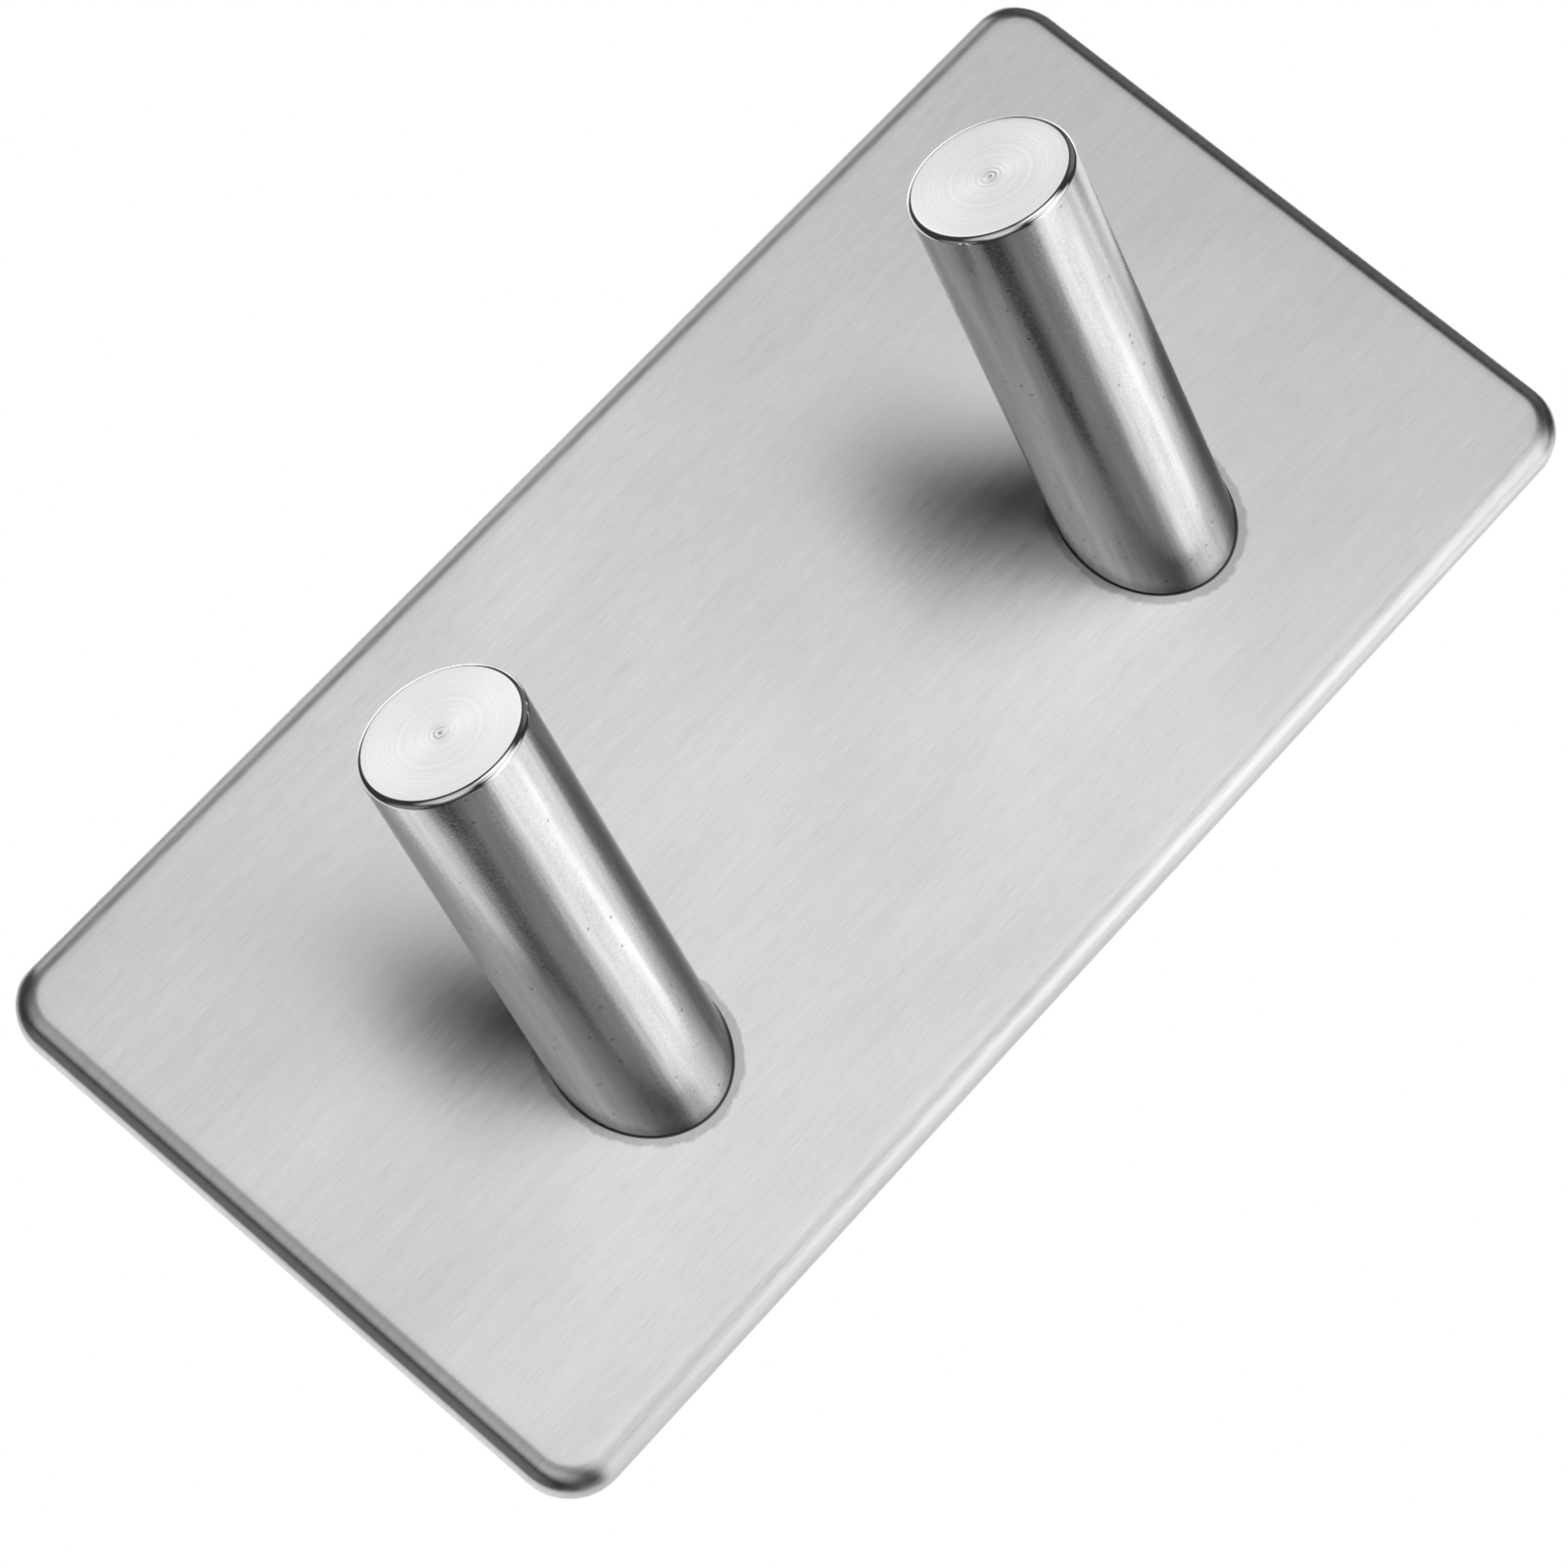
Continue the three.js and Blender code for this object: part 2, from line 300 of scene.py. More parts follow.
def brushed_stainless():
    """Stainless steel brushed with a fine belt: long faint hairlines, a satin sheen that smears
    reflections across the lines, and a darker buffed ring where each peg was cleaned round. A fine
    belt's hairlines are some 0.03 mm wide, and these are about 0.14 mm wide so that they show."""
    material, tree, output = new_material("brushed_stainless_304")
    grain = add_node(tree, "ShaderNodeUVMap", uv_map="grain")

    def streaks(along, across, detail):
        """Noise drawn out along the brushing, in features per millimetre each way."""
        scaled = add_node(tree, "ShaderNodeMapping", {
            "Vector": grain.outputs["UV"], "Scale": (across / MM, along / MM, 1.0),
        })
        return add_node(tree, "ShaderNodeTexNoise", {
            "Vector": scaled.outputs["Vector"], "Scale": 1.0, "Detail": detail,
        }).outputs["Fac"]

    hairlines = streaks(*HAIRLINES, 4.0)
    bundles = streaks(*BUNDLES, 3.0)
    clouds = streaks(*CLOUDS, 2.0)
    lines = add_node(tree, "ShaderNodeMix", {0: 0.42, 2: hairlines, 3: bundles})

    # How far a point is outside the nearer peg's seat, which is an ellipse.
    place = add_node(tree, "ShaderNodeTexCoord")
    seat_x, seat_z, _ = peg_places["right"]
    mirrored = add_node(tree, "ShaderNodeVectorMath", {0: place.outputs["Object"]}, operation="ABSOLUTE")
    across_x = add_node(tree, "ShaderNodeSeparateXYZ", {0: mirrored.outputs[0]})
    up_z = add_node(tree, "ShaderNodeSeparateXYZ", {0: place.outputs["Object"]})
    seat_plane = add_node(tree, "ShaderNodeCombineXYZ", {"X": across_x.outputs["X"], "Y": up_z.outputs["Z"]})
    from_seat = add_node(tree, "ShaderNodeVectorMath", {
        0: seat_plane.outputs[0], 1: (seat_x, seat_z, 0),
    }, operation="SUBTRACT")
    in_radii = add_node(tree, "ShaderNodeVectorMath", {
        0: from_seat.outputs[0], 1: (1 / PEG_RADIUS, math.cos(PEG_LEAN) / PEG_RADIUS, 0),
    }, operation="MULTIPLY")
    reach = add_node(tree, "ShaderNodeVectorMath", {0: in_radii.outputs[0]}, operation="LENGTH")
    ragged = add_node(tree, "ShaderNodeTexNoise", {
        "Vector": place.outputs["Object"], "Scale": 1.4 / MM, "Detail": 5.0,
    })
    ring_edge = add_node(tree, "ShaderNodeMapRange", {
        "Value": ragged.outputs["Fac"], "From Min": 0.3, "From Max": 0.7,
        "To Min": 1 + RING_NARROW / PEG_RADIUS, "To Max": 1 + RING_WIDE / PEG_RADIUS,
    })
    past_edge = add_node(tree, "ShaderNodeMath", {
        0: ring_edge.outputs[0], 1: reach.outputs["Value"],
    }, operation="SUBTRACT")
    ring = add_node(tree, "ShaderNodeMapRange", {
        "Value": past_edge.outputs[0], "From Min": 0.0, "From Max": RING_FADE / PEG_RADIUS,
        "To Min": 0.0, "To Max": 1.0,
    })
    rough = add_node(tree, "ShaderNodeMapRange", {
        "Value": lines.outputs[0], "From Min": 0.3, "From Max": 0.7, "To Min": 0.28, "To Max": 0.35,
    })
    sheet_tone = add_node(tree, "ShaderNodeMix", {
        0: clouds, 6: linear("#CFCFD0"), 7: linear("#E9E9EA"),
    }, data_type="RGBA")
    line_contrast = add_node(tree, "ShaderNodeMapRange", {
        "Value": lines.outputs[0], "From Min": 0.3, "From Max": 0.7,
    })
    line_tone = add_node(tree, "ShaderNodeMix", {
        0: line_contrast.outputs[0], 6: linear("#DFDFDF"), 7: linear("#FFFFFF"),
    }, data_type="RGBA")
    brushed_tone = add_node(tree, "ShaderNodeMix", {
        0: 1.0, 6: sheet_tone.outputs[2], 7: line_tone.outputs[2],
    }, data_type="RGBA", blend_type="MULTIPLY")
    tone = add_node(tree, "ShaderNodeMix", {
        0: ring.outputs[0], 6: brushed_tone.outputs[2], 7: linear("#D6D6D6"),
    }, data_type="RGBA", blend_type="MULTIPLY")
    # A painted dark line of shade in the joint, just outside each seat, where the peg meets the plate.
    joint_shade = add_node(tree, "ShaderNodeMapRange", {
        "Value": reach.outputs["Value"],
        "From Min": 1 + JOINT_SHADE_LINE / PEG_RADIUS, "From Max": 1 + 2 * JOINT_SHADE_LINE / PEG_RADIUS,
        "To Min": 1.0, "To Max": 0.0,
    })
    tone = add_node(tree, "ShaderNodeMix", {
        0: joint_shade.outputs[0], 6: tone.outputs[2], 7: linear("#3A3A3A"),
    }, data_type="RGBA")
    bump = add_node(tree, "ShaderNodeBump", {
        "Strength": 0.5, "Distance": 0.012 * MM, "Height": lines.outputs[0],
    })
    across = add_node(tree, "ShaderNodeTangent", direction_type="UV_MAP", uv_map="grain")
    steel = add_node(tree, "ShaderNodeBsdfPrincipled", {
        "Base Color": tone.outputs[2],
        "Metallic": 1.0,
        "Roughness": rough.outputs["Result"],
        "Anisotropic": 0.75,
        "Normal": bump.outputs["Normal"],
        "Tangent": across.outputs["Tangent"],
    })
    tree.links.new(steel.outputs["BSDF"], output.inputs["Surface"])
    return material


def plate_blank():
    """The pressed tray as a closed skin. Its UV map is the sheet laid out flat, with U across the
    brushing and V along it."""
    section = plate_section()
    flat = outline(plate_high, CORNER, OUTSIDE_BEND, 0)
    edge = outline(plate_high, CORNER, 0, 0)
    code = bmesh.new()
    layer = code.loops.layers.uv.new("grain")
    rows = []
    uvs = []
    for inset, y, walked in section:
        rows.append([code.verts.new(point) for point in outline(plate_high, CORNER, inset, y)])
        laid_out = []
        for inner, outer in zip(flat, edge):
            out = Vector((outer[0] - inner[0], outer[2] - inner[2])).normalized()
            laid_out.append((inner[2] + out.y * walked, inner[0] + out.x * walked))
        uvs.append(laid_out)
    count = len(flat)
    last = len(rows) - 1
    patches = [[(0, j) for j in range(count)], [(last, j) for j in reversed(range(count))]]
    for i in range(last):
        for j in range(count):
            k = (j + 1) % count
            patches.append([(i, j), (i + 1, j), (i + 1, k), (i, k)])
    for patch in patches:
        face = code.faces.new([rows[i][j] for i, j in patch])
        for loop, (i, j) in zip(face.loops, patch):
            loop[layer].uv = uvs[i][j]
    return object_from("plate_pressed_sheet", code, brushed_stainless())


def rod(radius, front, rear, x, z):
    """A round rod along Y, to cut or join with."""
    code = bmesh.new()
    bmesh.ops.create_cone(
        code, cap_ends=True, segments=ROD_SIDES, radius1=radius, radius2=radius, depth=rear - front,
        matrix=Matrix.Translation((x, (front + rear) / 2, z)) @ Matrix.Rotation(math.pi / 2, 4, "X"),
    )
    return code


def carve(piece, operation, tool_code):
    """Cuts the tool from the piece or joins it on, and leaves a plain mesh."""
    tool_mesh = bpy.data.meshes.new("tool")
    bmesh.ops.recalc_face_normals(tool_code, faces=tool_code.faces)
    tool_code.to_mesh(tool_mesh)
    tool_code.free()
    tool = bpy.data.objects.new("tool", tool_mesh)
    scene.collection.objects.link(tool)
    cut = piece.modifiers.new("cut", "BOOLEAN")
    cut.operation = operation
    cut.solver = "EXACT"
    cut.object = tool
    evaluated = piece.evaluated_get(bpy.context.evaluated_depsgraph_get())
    carved = bpy.data.meshes.new_from_object(evaluated)
    piece.modifiers.remove(cut)
    bpy.data.objects.remove(tool)
    bpy.data.meshes.remove(tool_mesh)
    uncut = piece.data
    piece.data = carved
    bpy.data.meshes.remove(uncut)
    carved.name = piece.name
    carved.shade_smooth()
    carved.set_sharp_from_angle(angle=SHARP_ANGLE)


plate = plate_blank()
for x, seat_drop, screw_height in peg_places.values():
    boss_place = (x, seat_drop - BOSS_DROP)
    carve(plate, "UNION", rod(BOSS_RADIUS, plate_front - BOSS_HEIGHT, TRAY_FLOOR - SHEET / 2, *boss_place))
    carve(plate, "DIFFERENCE", rod(DIMPLE_RADIUS, TRAY_FLOOR - BOSS_HEIGHT, TRAY_FLOOR + SHEET, *boss_place))
    carve(plate, "DIFFERENCE", rod(SCREW_HOLE, plate_front - SHEET, TRAY_FLOOR + SHEET, x, screw_height))
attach(plate, "root")
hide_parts("back_plate")

# ------------------------------------------------------------------ pegs
# Two lengths of 10 mm drawn stainless bar, cut at a slant to seat on the plate and faced in a
# lathe. The bar is satin, the rim of its end is rolled over bright, and the face keeps the rings
# of the tool and the small pip that it leaves in the middle.

PEG_LENGTH = 28.0 * MM      # along the axis, from the plate to the end face
PEG_RIM = 0.4 * MM
PEG_SEAT_BREAK = 0.14 * MM  # the seat's edge is broken to this radius
PIP_RADIUS = 0.6 * MM
PIP_HEIGHT = 0.03 * MM
RING_REACH = 1.2 * MM       # the tool's last rings stand out to here
RING_PITCH = 0.3 * MM
RING_HEIGHT = 0.012 * MM
FEED_RINGS = 4.0 / MM
GRIT = 5.5 / MM
PITS = 0.75 / MM
DIE_LINES = 1.7             # to a millimetre, across the bar
DIE_LINE_STRETCH = 0.07     # as many along it, as a share of those across it
PEG_SIDES = 160
SIDE_STEPS = 10
RIM_STEPS = 12
FACE_STEPS = 8
PIP_STEPS = 24
TAPPED_DEPTH = 6.8 * MM
BOSS_GAP = 0.15 * MM        # round and ahead of the plate's boss, in its socket
SEAM = 0.0005 * MM          # points nearer than this are one
TURNED_SHARP_ANGLE = math.radians(40)
SIDE_FINISH, RIM_FINISH, FACE_FINISH = 0.0, 1.0, 2.0
FINISH_MARGIN = 0.25


def satin_bar():
    """Drawn bar, tumbled to a satin: long die lines that ripple the reflections, a fine grit that
    breaks up their edges, and a few pits. Tumbling leaves marks some 0.05 mm wide, and these are
    about 0.18 mm wide so that they show."""
    material, tree, output = new_material("satin_stainless_bar")
    place = add_node(tree, "ShaderNodeTexCoord")
    grit = add_node(tree, "ShaderNodeTexNoise", {
        "Vector": place.outputs["Object"], "Scale": GRIT, "Detail": 2.0,
    })
    patches = add_node(tree, "ShaderNodeTexNoise", {
        "Vector": place.outputs["Object"], "Scale": 0.35 / MM, "Detail": 3.0,
    })
    pits = add_node(tree, "ShaderNodeTexVoronoi", {
        "Vector": place.outputs["Object"], "Scale": PITS,
    })
    pit = add_node(tree, "ShaderNodeMapRange", {
        "Value": pits.outputs["Distance"], "From Min": 0.05, "From Max": 0.11, "To Min": 1.0, "To Max": 0.0,
    })
    worn = add_node(tree, "ShaderNodeMix", {0: 0.35, 2: grit.outputs["Fac"], 3: patches.outputs["Fac"]})
    rough = add_node(tree, "ShaderNodeMapRange", {
        "Value": worn.outputs[0], "From Min": 0.3, "From Max": 0.7, "To Min": 0.18, "To Max": 0.29,
    })
    speckle = add_node(tree, "ShaderNodeMapRange", {
        "Value": grit.outputs["Fac"], "From Min": 0.3, "From Max": 0.7,
    })
    clean = add_node(tree, "ShaderNodeMix", {
        0: speckle.outputs[0], 6: linear("#E0E0E0"), 7: linear("#F4F4F4"),
    }, data_type="RGBA")
    turned_up = add_node(tree, "ShaderNodeVectorRotate", {
        "Vector": place.outputs["Object"], "Angle": PEG_LEAN - math.pi / 2,
    }, rotation_type="X_AXIS")
    drawn_out = add_node(tree, "ShaderNodeVectorMath", {
        0: turned_up.outputs[0], 1: (1 / MM, 1 / MM, DIE_LINE_STRETCH / MM),
    }, operation="MULTIPLY")
    die_lines = add_node(tree, "ShaderNodeTexNoise", {
        "Vector": drawn_out.outputs[0], "Scale": DIE_LINES, "Detail": 4.0,
    })
    line_contrast = add_node(tree, "ShaderNodeMapRange", {
        "Value": die_lines.outputs["Fac"], "From Min": 0.3, "From Max": 0.7,
    })
    line_tone = add_node(tree, "ShaderNodeMix", {
        0: line_contrast.outputs[0], 6: linear("#E6E6E6"), 7: linear("#FFFFFF"),
    }, data_type="RGBA")
    drawn = add_node(tree, "ShaderNodeMix", {
        0: 1.0, 6: clean.outputs[2], 7: line_tone.outputs[2],
    }, data_type="RGBA", blend_type="MULTIPLY")
    tone = add_node(tree, "ShaderNodeMix", {
        0: pit.outputs[0], 6: drawn.outputs[2], 7: linear("#AFAFAF"),
    }, data_type="RGBA")
    waves = add_node(tree, "ShaderNodeBump", {
        "Strength": 0.5, "Distance": 0.03 * MM, "Height": die_lines.outputs["Fac"],
    })
    height = add_node(tree, "ShaderNodeMath", {
        0: grit.outputs["Fac"], 1: pit.outputs[0],
    }, operation="SUBTRACT")
    bump = add_node(tree, "ShaderNodeBump", {
        "Strength": 0.5, "Distance": 0.006 * MM, "Height": height.outputs[0],
        "Normal": waves.outputs["Normal"],
    })
    steel = add_node(tree, "ShaderNodeBsdfPrincipled", {
        "Base Color": tone.outputs[2], "Metallic": 1.0,
        "Roughness": rough.outputs["Result"], "Normal": bump.outputs["Normal"],
    })
    tree.links.new(steel.outputs["BSDF"], output.inputs["Surface"])
    return material


def burnished_rim():
    """Steel rolled bright by the tool's edge, close to a mirror."""
    material, tree, output = new_material("burnished_stainless_rim")
    place = add_node(tree, "ShaderNodeTexCoord")
    chatter = add_node(tree, "ShaderNodeTexNoise", {
        "Vector": place.outputs["Object"], "Scale": 1.6 / MM, "Detail": 2.0,
    })
    rough = add_node(tree, "ShaderNodeMapRange", {
        "Value": chatter.outputs["Fac"], "From Min": 0.3, "From Max": 0.7, "To Min": 0.05, "To Max": 0.10,
    })
    steel = add_node(tree, "ShaderNodeBsdfPrincipled", {
        "Base Color": linear("#E8E8E8"), "Metallic": 1.0, "Roughness": rough.outputs["Result"],
    })
    tree.links.new(steel.outputs["BSDF"], output.inputs["Surface"])
    return material


def turned_face():
    """Steel faced in a lathe: fine rings that fan the light out in a bow-tie. The tool's real feed
    is about 0.08 mm a turn, and the rings are drawn three times as wide so that they show."""
    material, tree, output = new_material("turned_stainless_face")
    turning = add_node(tree, "ShaderNodeUVMap", uv_map="turning")
    rings_place = add_node(tree, "ShaderNodeMapping", {
        "Vector": turning.outputs["UV"], "Scale": (FEED_RINGS, 0.15, 1.0),
    })
    rings = add_node(tree, "ShaderNodeTexNoise", {
        "Vector": rings_place.outputs["Vector"], "Scale": 1.0, "Detail": 2.0,
    })
    ring_tone = add_node(tree, "ShaderNodeMapRange", {
        "Value": rings.outputs["Fac"], "From Min": 0.3, "From Max": 0.7,
    })
    tone = add_node(tree, "ShaderNodeMix", {
        0: ring_tone.outputs[0], 6: linear("#F0F0F0"), 7: linear("#FFFFFF"),
    }, data_type="RGBA")
    rough = add_node(tree, "ShaderNodeMapRange", {
        "Value": rings.outputs["Fac"], "From Min": 0.3, "From Max": 0.7, "To Min": 0.24, "To Max": 0.31,
    })
    bump = add_node(tree, "ShaderNodeBump", {
        "Strength": 0.6, "Distance": 0.012 * MM, "Height": rings.outputs["Fac"],
    })
    outward = add_node(tree, "ShaderNodeTangent", direction_type="UV_MAP", uv_map="turning")
    steel = add_node(tree, "ShaderNodeBsdfPrincipled", {
        "Base Color": tone.outputs[2], "Metallic": 1.0, "Anisotropic": 0.75,
        "Roughness": rough.outputs["Result"], "Normal": bump.outputs["Normal"],
        "Tangent": outward.outputs["Tangent"],
    })
    tree.links.new(steel.outputs["BSDF"], output.inputs["Surface"])
    return material


def peg_section():
    """The peg's section from the middle of its seat to the middle of its end face. Each point has
    a radius, a height along the axis, and how far it follows the slant of the seat (1 to 0)."""
    section = [(0.0, 0.0, 1.0)]
    for step in range(CUT_STEPS + 1):
        a = step / CUT_STEPS * math.pi / 2
        section.append((
            PEG_RADIUS - PEG_SEAT_BREAK * (1 - math.sin(a)), PEG_SEAT_BREAK * (1 - math.cos(a)), 1.0,
        ))
    side = PEG_LENGTH - PEG_RIM - PEG_SEAT_BREAK
    for step in range(1, SIDE_STEPS):
        part = step / SIDE_STEPS
        section.append((PEG_RADIUS, PEG_SEAT_BREAK + side * part, 1 - part))
    rim_start = len(section)
    for step in range(RIM_STEPS + 1):
        a = step / RIM_STEPS * math.pi / 2
        section.append((
            PEG_RADIUS - PEG_RIM * (1 - math.cos(a)), PEG_LENGTH - PEG_RIM * (1 - math.sin(a)), 0.0,
        ))
    face_start = len(section) - 1
    face = PEG_RADIUS - PEG_RIM - RING_REACH
    for step in range(1, FACE_STEPS):
        section.append((PEG_RADIUS - PEG_RIM - face * step / FACE_STEPS, PEG_LENGTH, 0.0))
    for step in range(PIP_STEPS + 1):
        radius = RING_REACH * (1 - step / PIP_STEPS)
        ripple = RING_HEIGHT * (1 - radius / RING_REACH) * math.cos(math.tau * radius / RING_PITCH)
        pip = PIP_HEIGHT * max(0.0, 1 - radius / PIP_RADIUS) ** 2
        section.append((radius, PEG_LENGTH + ripple + pip, 0.0))
    return section, rim_start, face_start


def turning_tree():
    """Geometry Nodes that turn a section about its axis: the section's points carry their radius
    in X, their height in Z, and four values of their own: seat, how far they follow the seat's
    slant; walked, how far along the section they are; finish; and thread, how deep it is cut."""
    tree = bpy.data.node_groups.new("turn_on_axis", "GeometryNodeTree")
    sockets = (
        ("Section", "NodeSocketGeometry"), ("Sides", "NodeSocketInt"), ("Lean", "NodeSocketFloat"),
        ("Foot", "NodeSocketVector"), ("Side Finish", "NodeSocketMaterial"),
        ("Rim Finish", "NodeSocketMaterial"), ("Face Finish", "NodeSocketMaterial"),
        ("Thread Pitch", "NodeSocketFloat"), ("Thread Depth", "NodeSocketFloat"),
    )
    for name, kind in sockets:
        tree.interface.new_socket(name=name, in_out="INPUT", socket_type=kind)
    tree.interface.new_socket(name="Turned", in_out="OUTPUT", socket_type="NodeSocketGeometry")
    given = add_node(tree, "NodeGroupInput").outputs
    size = add_node(tree, "GeometryNodeAttributeDomainSize", {"Geometry": given["Section"]})
    columns = add_node(tree, "ShaderNodeMath", {0: given["Sides"], 1: 1.0}, operation="ADD")
    grid = add_node(tree, "GeometryNodeMeshGrid", {
        "Size X": 1.0, "Size Y": 1.0,
        "Vertices X": size.outputs["Point Count"], "Vertices Y": columns.outputs[0],
    })
    index = add_node(tree, "GeometryNodeInputIndex")
    row_exact = add_node(tree, "ShaderNodeMath", {
        0: index.outputs[0], 1: columns.outputs[0],
    }, operation="DIVIDE")
    row = add_node(tree, "ShaderNodeMath", {0: row_exact.outputs[0]}, operation="FLOOR")
    column = add_node(tree, "ShaderNodeMath", {
        0: index.outputs[0], 1: columns.outputs[0],
    }, operation="MODULO")
    part_round = add_node(tree, "ShaderNodeMath", {
        0: column.outputs[0], 1: given["Sides"],
    }, operation="DIVIDE")
    angle = add_node(tree, "ShaderNodeMath", {0: part_round.outputs[0], 1: math.tau}, operation="MULTIPLY")

    def from_section(data_type, value):
        """A value of the section's point that this row stands for."""
        return add_node(tree, "GeometryNodeSampleIndex", {
            "Geometry": given["Section"], "Value": value, "Index": row.outputs[0],
        }, data_type=data_type).outputs[0]

    def own_value(name):
        """A value that the section's points carry under the given name."""
        return add_node(tree, "GeometryNodeInputNamedAttribute", {"Name": name}, data_type="FLOAT").outputs[0]

    position = add_node(tree, "GeometryNodeInputPosition")
    point = add_node(tree, "ShaderNodeSeparateXYZ", {0: from_section("FLOAT_VECTOR", position.outputs[0])})
    seat = from_section("FLOAT", own_value("seat"))
    walked = from_section("FLOAT", own_value("walked"))
    finish = from_section("FLOAT", own_value("finish"))
    turns = add_node(tree, "ShaderNodeMath", {
        0: point.outputs["Z"], 1: given["Thread Pitch"],
    }, operation="DIVIDE")
    helix = add_node(tree, "ShaderNodeMath", {0: turns.outputs[0], 1: part_round.outputs[0]}, operation="ADD")
    flank = add_node(tree, "ShaderNodeMath", {0: helix.outputs[0], 1: 0.5}, operation="PINGPONG")
    groove = add_node(tree, "ShaderNodeMath", {0: flank.outputs[0], 1: 2.0}, operation="MULTIPLY")
    cut_in = add_node(tree, "ShaderNodeMath", {
        0: groove.outputs[0], 1: given["Thread Depth"],
    }, operation="MULTIPLY")
    threaded = add_node(tree, "ShaderNodeMath", {
        0: cut_in.outputs[0], 1: from_section("FLOAT", own_value("thread")),
    }, operation="MULTIPLY")
    radius = add_node(tree, "ShaderNodeMath", {
        0: point.outputs["X"], 1: threaded.outputs[0],
    }, operation="SUBTRACT")
    arm = add_node(tree, "ShaderNodeCombineXYZ", {"X": radius.outputs[0]})
    swung = add_node(tree, "ShaderNodeVectorRotate", {
        "Vector": arm.outputs[0], "Angle": angle.outputs[0],
    }, rotation_type="Z_AXIS")
    offset = add_node(tree, "ShaderNodeSeparateXYZ", {0: swung.outputs[0]})
    lean_slope = add_node(tree, "ShaderNodeMath", {0: given["Lean"]}, operation="TANGENT")
    slant = add_node(tree, "ShaderNodeMath", {
        0: offset.outputs["Y"], 1: lean_slope.outputs[0],
    }, operation="MULTIPLY")
    height = add_node(tree, "ShaderNodeMath", {
        0: slant.outputs[0], 1: seat, 2: point.outputs["Z"],
    }, operation="MULTIPLY_ADD")
    upright = add_node(tree, "ShaderNodeCombineXYZ", {
        "X": offset.outputs["X"], "Y": offset.outputs["Y"], "Z": height.outputs[0],
    })
    quarter_less = add_node(tree, "ShaderNodeMath", {0: math.pi / 2, 1: given["Lean"]}, operation="SUBTRACT")
    leaned = add_node(tree, "ShaderNodeVectorRotate", {
        "Vector": upright.outputs[0], "Angle": quarter_less.outputs[0],
    }, rotation_type="X_AXIS")
    placed = add_node(tree, "ShaderNodeVectorMath", {0: leaned.outputs[0], 1: given["Foot"]}, operation="ADD")
    laid_out = add_node(tree, "ShaderNodeCombineXYZ", {"X": walked, "Y": part_round.outputs[0]})
    laid_out_point = add_node(tree, "GeometryNodeFieldOnDomain", {
        0: laid_out.outputs[0],
    }, data_type="FLOAT_VECTOR", domain="POINT")
    finish_point = add_node(tree, "GeometryNodeFieldOnDomain", {
        0: finish,
    }, data_type="FLOAT", domain="POINT")
    with_map = add_node(tree, "GeometryNodeStoreNamedAttribute", {
        "Geometry": grid.outputs["Mesh"], "Name": "turning", "Value": laid_out_point.outputs[0],
    }, data_type="FLOAT2", domain="CORNER")
    with_finish = add_node(tree, "GeometryNodeStoreNamedAttribute", {
        "Geometry": with_map.outputs[0], "Name": "finish", "Value": finish_point.outputs[0],
    }, data_type="FLOAT", domain="FACE")
    shaped = add_node(tree, "GeometryNodeSetPosition", {
        "Geometry": with_finish.outputs[0], "Position": placed.outputs[0],
    })
    closed = add_node(tree, "GeometryNodeMergeByDistance", {
        "Geometry": shaped.outputs[0], "Distance": SEAM,
    })
    mesh = add_node(tree, "GeometryNodeRealizeInstances", {"Geometry": closed.outputs[0]}).outputs[0]
    # A face's finish is the mean of its corners', so a face between two finishes keeps the first.
    of_face = own_value("finish")
    finishes = (("Side Finish", SIDE_FINISH), ("Rim Finish", RIM_FINISH), ("Face Finish", FACE_FINISH))
    for finish_name, value in finishes:
        chosen = add_node(tree, "ShaderNodeMath", {
            0: of_face, 1: value - FINISH_MARGIN,
        }, operation="GREATER_THAN")
        mesh = add_node(tree, "GeometryNodeSetMaterial", {
            "Geometry": mesh, "Selection": chosen.outputs[0], "Material": given[finish_name],
        }).outputs[0]
    add_node(tree, "NodeGroupOutput", {"Turned": mesh})
    return tree


def turned_object(name, tree, section, values):
    """Runs the tree on a section and gives back a plain mesh object. The section is a list of
    radius, height, seat, finish and thread."""
    carrier_mesh = bpy.data.meshes.new(name)
    carrier_mesh.from_pydata([(point[0], 0, point[1]) for point in section], [], [])
    walked = [0.0]
    for before, after in zip(section, section[1:]):
        walked.append(walked[-1] + math.hypot(after[0] - before[0], after[1] - before[1]))
    own_values = {
        "seat": [point[2] for point in section],
        "walked": walked,
        "finish": [point[3] for point in section],
        "thread": [point[4] for point in section],
    }
    for key, numbers in own_values.items():
        carrier_mesh.attributes.new(key, "FLOAT", "POINT").data.foreach_set("value", numbers)
    carrier = bpy.data.objects.new(name, carrier_mesh)
    scene.collection.objects.link(carrier)
    modifier = carrier.modifiers.new("turning", "NODES")
    modifier.node_group = tree
    for socket in tree.interface.items_tree:
        if socket.name in values:
            modifier[socket.identifier] = values[socket.name]
    evaluated = carrier.evaluated_get(bpy.context.evaluated_depsgraph_get())
    mesh = bpy.data.meshes.new_from_object(evaluated)
    carrier.modifiers.remove(modifier)
    bpy.data.objects.remove(carrier)
    bpy.data.meshes.remove(carrier_mesh)
    code = bmesh.new()
    code.from_mesh(mesh)
    bmesh.ops.recalc_face_normals(code, faces=code.faces)
    code.to_mesh(mesh)
    code.free()
    mesh.name = name
    mesh.shade_smooth()
    mesh.set_sharp_from_angle(angle=TURNED_SHARP_ANGLE)
    piece = bpy.data.objects.new(name, mesh)
    scene.collection.objects.link(piece)
    return piece


